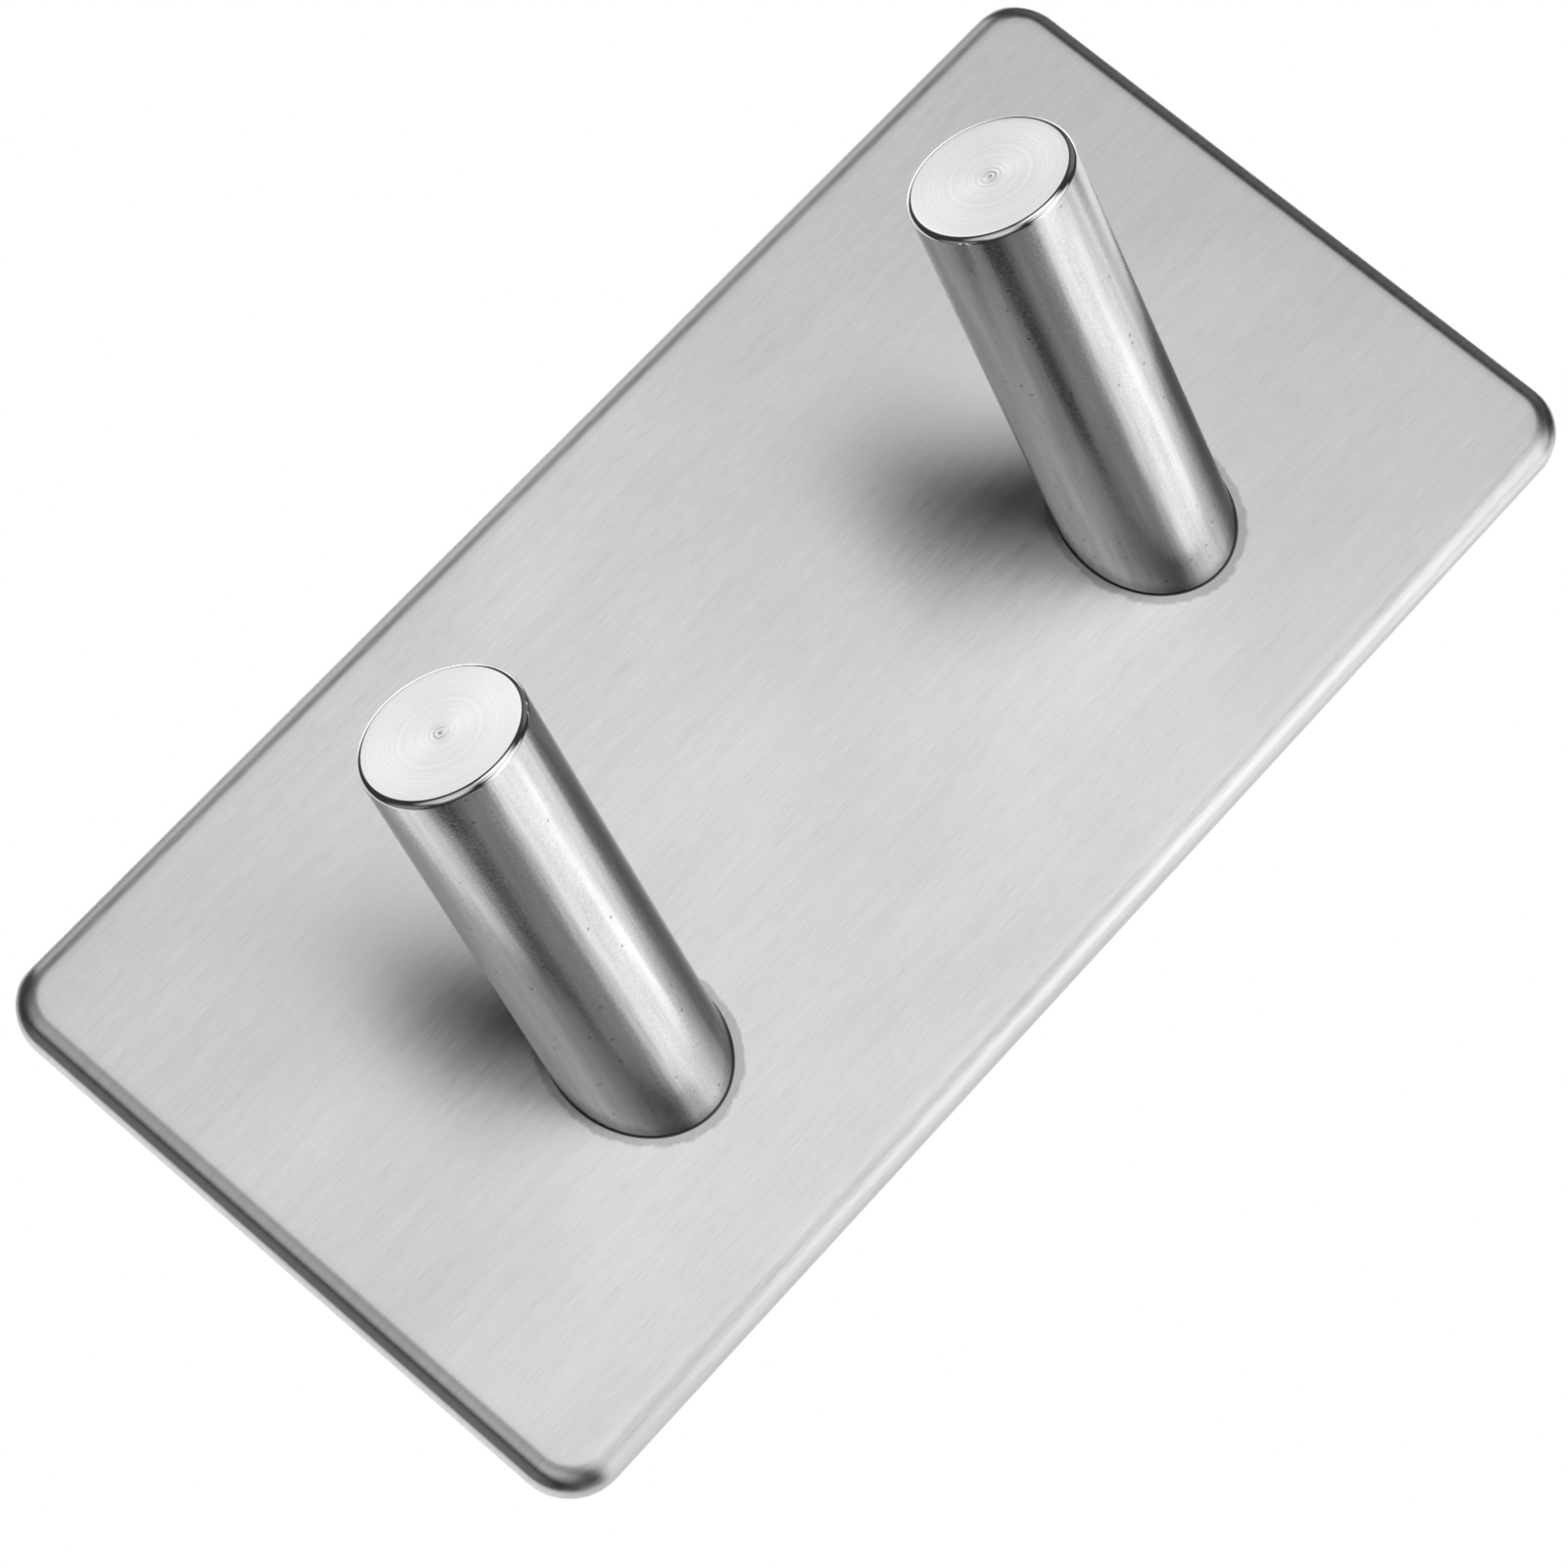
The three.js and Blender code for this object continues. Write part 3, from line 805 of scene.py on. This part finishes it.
turning = turning_tree()
peg_points, peg_rim_start, peg_face_start = peg_section()
peg_finished = []
for number, (radius, height, seat) in enumerate(peg_points):
    finish = SIDE_FINISH
    if number >= peg_face_start:
        finish = FACE_FINISH
    elif number >= peg_rim_start:
        finish = RIM_FINISH
    peg_finished.append((radius, height, seat, finish, 0.0))
peg_finishes = {"Side Finish": satin_bar(), "Rim Finish": burnished_rim(), "Face Finish": turned_face()}
for side_name, (x, seat_drop, screw_height) in peg_places.items():
    # A peg has no thread outside, and its pitch is only there to divide by.
    peg = turned_object(f"peg_turned_{side_name}", turning, peg_finished, {
        "Sides": PEG_SIDES, "Lean": PEG_LEAN, "Foot": (x, plate_front, seat_drop),
        "Thread Pitch": 1.0, "Thread Depth": 0.0, **peg_finishes,
    })
    tapped_hole = rod(SCREW_HOLE, plate_front - TAPPED_DEPTH, plate_front + SHEET, x, screw_height)
    carve(peg, "DIFFERENCE", tapped_hole)
    socket = rod(
        BOSS_RADIUS + BOSS_GAP, plate_front - BOSS_HEIGHT - BOSS_GAP, plate_front + SHEET,
        x, seat_drop - BOSS_DROP,
    )
    carve(peg, "DIFFERENCE", socket)
    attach(peg, "root")
    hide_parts(f"peg_{side_name}")

# ------------------------------------------------------------------ screws
# Two M4 screws of A2 stainless with a thin cheese head and a cross recess. Each comes through the
# plate from behind and pulls a peg's seat tight against it. The thread is rolled.

SCREW_RADIUS = 2.0 * MM
SCREW_LENGTH = 7.0 * MM
SCREW_TIP = 0.5 * MM
SCREW_HEAD_RADIUS = 3.5 * MM
SCREW_HEAD_HEIGHT = 1.0 * MM
SCREW_HEAD_ROUND = 0.3 * MM
PLAIN_ROW = 0.8         # of the way along the plain shank is a row of points
THREAD_PITCH = 0.7 * MM
THREAD_DEPTH = 0.40 * MM
THREAD_STEPS = 8        # rows of points in each turn of the thread
SCREW_SIDES = 72
RECESS_SPAN = 3.8 * MM
RECESS_SLOT = 0.9 * MM
RECESS_DEPTH = 0.6 * MM
RECESS_TAPER = 0.7      # the recess narrows to this share of itself at its floor


def rolled_screw_steel():
    """A2 stainless with a rolled thread and a tumbled head: one finish all over, its roughness and tone
    varying in fine patches.
    """
    material, tree, output = new_material("rolled_stainless_a2")
    place = add_node(tree, "ShaderNodeTexCoord")
    tumble = add_node(tree, "ShaderNodeTexNoise", {
        "Vector": place.outputs["Object"], "Scale": 2.5 / MM, "Detail": 3.0,
    })
    rough = add_node(tree, "ShaderNodeMapRange", {
        "Value": tumble.outputs["Fac"], "From Min": 0.3, "From Max": 0.7, "To Min": 0.18, "To Max": 0.34,
    })
    bump = add_node(tree, "ShaderNodeBump", {
        "Strength": 0.4, "Distance": 0.01 * MM, "Height": tumble.outputs["Fac"],
    })
    tone = add_node(tree, "ShaderNodeMix", {
        0: tumble.outputs["Fac"], 6: linear("#C4C4C2"), 7: linear("#DADAD8"),
    }, data_type="RGBA")
    steel = add_node(tree, "ShaderNodeBsdfPrincipled", {
        "Base Color": tone.outputs[2], "Metallic": 1.0,
        "Roughness": rough.outputs["Result"], "Normal": bump.outputs["Normal"],
    })
    tree.links.new(steel.outputs["BSDF"], output.inputs["Surface"])
    return material


def screw_section():
    """The screw's section from the middle of its head's back to the middle of its tip, each point
    with a radius, a height under the head, and how deep the thread is there (0 to 1)."""
    section = [(0.0, -SCREW_HEAD_HEIGHT, 0.0)]
    for step in range(RIM_STEPS + 1):
        a = step / RIM_STEPS * math.pi / 2
        section.append((
            SCREW_HEAD_RADIUS - SCREW_HEAD_ROUND * (1 - math.sin(a)),
            -SCREW_HEAD_HEIGHT + SCREW_HEAD_ROUND * (1 - math.cos(a)), 0.0,
        ))
    section.append((SCREW_HEAD_RADIUS, 0.0, 0.0))
    section.append((SCREW_RADIUS, 0.0, 0.0))
    section.append((SCREW_RADIUS, SHEET * PLAIN_ROW, 0.0))  # plain through the plate's sheet
    threaded = SCREW_LENGTH - SCREW_TIP - SHEET
    count = round(threaded / THREAD_PITCH * THREAD_STEPS)
    for step in range(count + 1):
        section.append((SCREW_RADIUS, SHEET + threaded * step / count, min(1.0, step / THREAD_STEPS)))
    section.append((SCREW_RADIUS - SCREW_TIP, SCREW_LENGTH, 0.0))
    section.append((0.0, SCREW_LENGTH, 0.0))
    return section


def cross_recess(x, z):
    """The cross that the driver fits, narrower at its floor."""
    back = TRAY_FLOOR + SCREW_HEAD_HEIGHT
    mouth_y = back + RECESS_DEPTH
    floor_y = back - RECESS_DEPTH
    code = bmesh.new()
    half_slot = RECESS_SLOT / 2
    half_span = RECESS_SPAN / 2
    cross = []
    for turn in range(4):
        quarter = Matrix.Rotation(turn * math.pi / 2, 2)
        for point in ((half_span, -half_slot), (half_span, half_slot), (half_slot, half_slot)):
            cross.append(quarter @ Vector(point))
    rings = []
    for y, scale in ((mouth_y, 2 - RECESS_TAPER), (floor_y, RECESS_TAPER)):
        rings.append([code.verts.new((x + p.x * scale, y, z + p.y * scale)) for p in cross])
    code.faces.new(rings[0])
    code.faces.new(list(reversed(rings[1])))
    for j in range(len(cross)):
        k = (j + 1) % len(cross)
        code.faces.new([rings[0][j], rings[1][j], rings[1][k], rings[0][k]])
    return code


screw_steel = rolled_screw_steel()
screw_points = [(radius, height, 0.0, SIDE_FINISH, thread) for radius, height, thread in screw_section()]
screw_finishes = {finish: screw_steel for finish in peg_finishes}
for side_name, (x, _, screw_height) in peg_places.items():
    screw = turned_object(f"screw_rolled_{side_name}", turning, screw_points, {
        "Sides": SCREW_SIDES, "Lean": 0.0, "Foot": (x, TRAY_FLOOR, screw_height),
        "Thread Pitch": THREAD_PITCH, "Thread Depth": THREAD_DEPTH, **screw_finishes,
    })
    carve(screw, "DIFFERENCE", cross_recess(x, screw_height))
    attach(screw, "root")
    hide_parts(f"screw_{side_name}")

# ------------------------------------------------------------------ foam pad
# Acrylic foam tape, 1.4 mm thick, die-cut to fill the tray with a round hole over each screw
# head. Its cut edges show the closed cells, and the plate and the liner hide its faces.

PAD_GAP = 0.6 * MM        # to the inside of the turned edge
PAD_CORNER = CORNER - SHEET - PAD_GAP
PAD_HOLE = 4.1 * MM       # the radius of the hole round a screw head
PAD_PINCH = 0.08 * MM     # the die squeezes the edge in by this much at half thickness
PAD_EDGE_STEPS = 6
CELL = 0.25 * MM
pad_low, pad_high = (Vector(corner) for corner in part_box("foam_pad"))


def foam():
    """Closed-cell acrylic foam: matte, mottled, and pitted with fine cells."""
    material, tree, output = new_material("closed_cell_acrylic_foam")
    place = add_node(tree, "ShaderNodeTexCoord")
    cells = add_node(tree, "ShaderNodeTexVoronoi", {"Vector": place.outputs["Object"], "Scale": 1 / CELL})
    drift = add_node(tree, "ShaderNodeTexNoise", {
        "Vector": place.outputs["Object"], "Scale": 0.15 / MM, "Detail": 3.0,
    })
    tone = add_node(tree, "ShaderNodeMix", {
        0: drift.outputs["Fac"], 6: linear("#85878A"), 7: linear("#9A9C9F"),
    }, data_type="RGBA")
    pitted = add_node(tree, "ShaderNodeMix", {
        0: cells.outputs["Distance"], 6: linear("#6E7073"), 7: tone.outputs[2],
    }, data_type="RGBA")
    bump = add_node(tree, "ShaderNodeBump", {
        "Strength": 0.6, "Distance": 0.05 * MM, "Height": cells.outputs["Distance"],
    })
    rubber = add_node(tree, "ShaderNodeBsdfPrincipled", {
        "Base Color": pitted.outputs[2], "Roughness": 0.85, "Normal": bump.outputs["Normal"],
    })
    tree.links.new(rubber.outputs["BSDF"], output.inputs["Surface"])
    return material


def die_cut_sheet(name, low, high, pinch, steps, material):
    """A soft sheet cut by a die: its edge is pinched in at half thickness by the given amount."""
    code = bmesh.new()
    rows = []
    for step in range(steps + 1):
        part = step / steps
        inset = pinch * math.sin(math.pi * part)
        y = low.y + (high.y - low.y) * part
        rows.append([code.verts.new(point) for point in outline(high, PAD_CORNER, inset, y)])
    count = len(rows[0])
    for i in range(steps):
        for j in range(count):
            k = (j + 1) % count
            code.faces.new([rows[i][j], rows[i][k], rows[i + 1][k], rows[i + 1][j]])
    code.faces.new(rows[0])
    code.faces.new(list(reversed(rows[-1])))
    return object_from(name, code, material)


pad = die_cut_sheet("pad_die_cut_foam", pad_low, pad_high, PAD_PINCH, PAD_EDGE_STEPS, foam())
for x, _, screw_height in peg_places.values():
    carve(pad, "DIFFERENCE", rod(PAD_HOLE, pad_low.y - SHEET, pad_high.y + SHEET, x, screw_height))
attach(pad, "root")
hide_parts("foam_pad")

# ------------------------------------------------------------------ release liner
# A sheet of glassine paper with a silicone coat, die-cut with the pad. It peels off when the rack
# is stuck to a wall.

liner_low, liner_high = (Vector(corner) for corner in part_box("release_liner"))


def siliconed_glassine():
    """Calendered paper under silicone: off-white, cloudy with pressed fibre, and a soft sheen."""
    material, tree, output = new_material("siliconed_glassine_paper")
    place = add_node(tree, "ShaderNodeTexCoord")
    fibre = add_node(tree, "ShaderNodeTexNoise", {
        "Vector": place.outputs["Object"], "Scale": 3.0 / MM, "Detail": 4.0,
    })
    formation = add_node(tree, "ShaderNodeTexNoise", {
        "Vector": place.outputs["Object"], "Scale": 0.35 / MM, "Detail": 3.0,
    })
    cloud = add_node(tree, "ShaderNodeMix", {0: 0.6, 2: fibre.outputs["Fac"], 3: formation.outputs["Fac"]})
    tone = add_node(tree, "ShaderNodeMix", {
        0: cloud.outputs[0], 6: linear("#E2DFD3"), 7: linear("#F2EFE6"),
    }, data_type="RGBA")
    rough = add_node(tree, "ShaderNodeMapRange", {
        "Value": fibre.outputs["Fac"], "From Min": 0.3, "From Max": 0.7, "To Min": 0.36, "To Max": 0.48,
    })
    cockle = add_node(tree, "ShaderNodeBump", {
        "Strength": 0.5, "Distance": 0.08 * MM, "Height": formation.outputs["Fac"],
    })
    paper = add_node(tree, "ShaderNodeBsdfPrincipled", {
        "Base Color": tone.outputs[2], "Roughness": rough.outputs["Result"],
        "Normal": cockle.outputs["Normal"], "Coat Weight": 0.25, "Coat Roughness": 0.3,
    })
    tree.links.new(paper.outputs["BSDF"], output.inputs["Surface"])
    return material


liner = die_cut_sheet("liner_siliconed_paper", liner_low, liner_high, 0.0, 1, siliconed_glassine())
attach(liner, "root")
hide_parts("release_liner")
